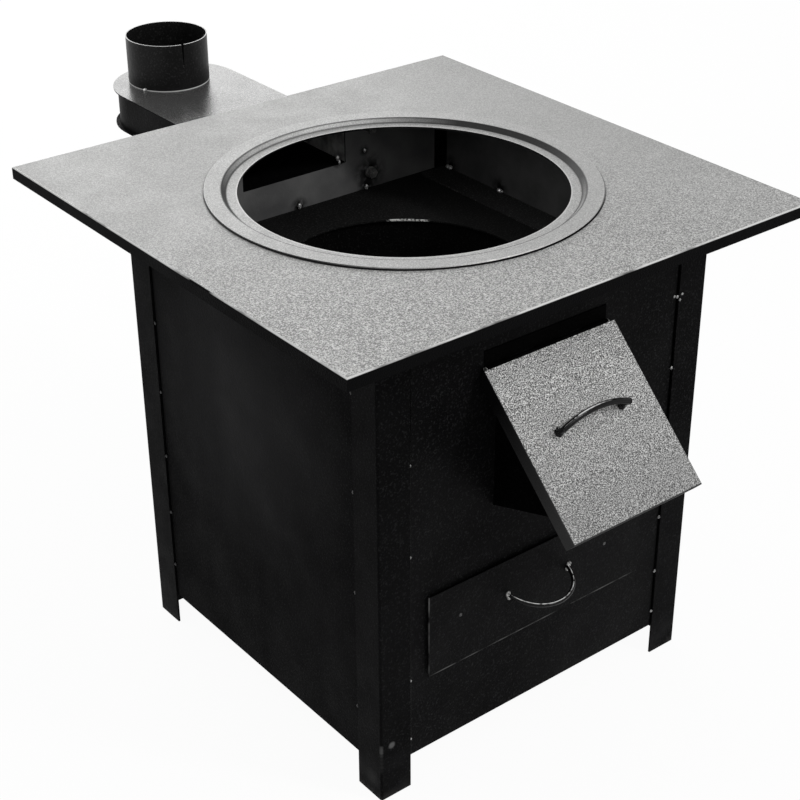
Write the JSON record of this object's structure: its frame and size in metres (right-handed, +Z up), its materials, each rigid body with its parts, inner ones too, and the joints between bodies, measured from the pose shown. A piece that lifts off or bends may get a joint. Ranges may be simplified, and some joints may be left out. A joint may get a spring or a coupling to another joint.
{
  "type": "wood cooking stove",
  "caption": "square sheet-steel wood stove with a loose ring for a round-bottomed pot, a sloped feed chute with a hinged lid, an ash drawer and a flat rear flue duct with an upright collar",
  "frame": {"origin": "on the floor, in the middle of the bounding box that runs from the lid's front edge to the round end of the flue duct", "axes": "+Z up; -Y is the front, with the chute and the drawer; +X is the right side seen from the front"},
  "size_m": [0.7, 1.0586, 0.717],
  "materials": {
    "black_paint": "black heat-resistant paint, fine sand texture, half matt",
    "textured_top_paint": "heat-resistant paint, sand texture, silvery grey where light grazes it",
    "scorched_sheet": "thick sheet under matt black paint",
    "cast_iron": "as cast, matt",
    "dark_steel": "zinc plated, dulled"
  },
  "bodies": {
    "stove": {"top_plate": "textured_top_paint", "leg_front_left": "black_paint", "leg_front_right": "black_paint", "leg_rear_left": "black_paint", "leg_rear_right": "black_paint", "front_panel": "black_paint", "rear_panel": "black_paint", "left_panel": "black_paint", "right_panel": "black_paint", "rail_front": "black_paint", "rail_rear": "black_paint", "rail_left": "black_paint", "rail_right": "black_paint", "baffle_plate": "scorched_sheet", "baffle_strip_left": "scorched_sheet", "baffle_strip_right": "scorched_sheet", "fire_drum": "scorched_sheet", "grate_shelf": "scorched_sheet", "ash_floor": "black_paint", "drawer_guide_left": "black_paint", "drawer_guide_right": "black_paint", "chute_cheek_left": "black_paint", "chute_cheek_right": "black_paint", "chute_floor": "black_paint", "hinge_leaf": "black_paint", "hinge_pin": "dark_steel", "duct_flange": "black_paint", "duct_top": "textured_top_paint", "duct_bottom": "black_paint", "duct_wall": "black_paint", "flue_collar": "black_paint", "duct_bolts": "dark_steel", "duct_washers": "dark_steel", "duct_nuts": "dark_steel"},
    "drawer": {"drawer_tray": "black_paint", "drawer_front": "black_paint", "drawer_handle": "black_paint"},
    "lid": {"lid": "textured_top_paint", "lid_handle": "black_paint", "lid_handle_screws": "dark_steel"},
    "ring": {"pot_ring": "textured_top_paint"},
    "grate": {"fire_grate": "cast_iron"}
  },
  "joints": [
    {"name": "lid_hinge", "type": "hinge", "parent": "stove", "child": "lid", "pos_m": [0, -0.36698, 0.557], "axis": [-1, 0, 0], "range_deg": [0, 90]},
    {"name": "drawer_slide", "type": "slide", "parent": "stove", "child": "drawer", "axis": [0, -1, 0], "range_m": [0, 0.4]},
    {"name": "ring_lift", "type": "slide", "parent": "stove", "child": "ring", "axis": [0, 0, 1], "range_m": [0, 0.1]},
    {"name": "grate_lift", "type": "slide", "parent": "stove", "child": "grate", "axis": [0, 0, 1], "range_m": [0, 0.4]}
  ]
}
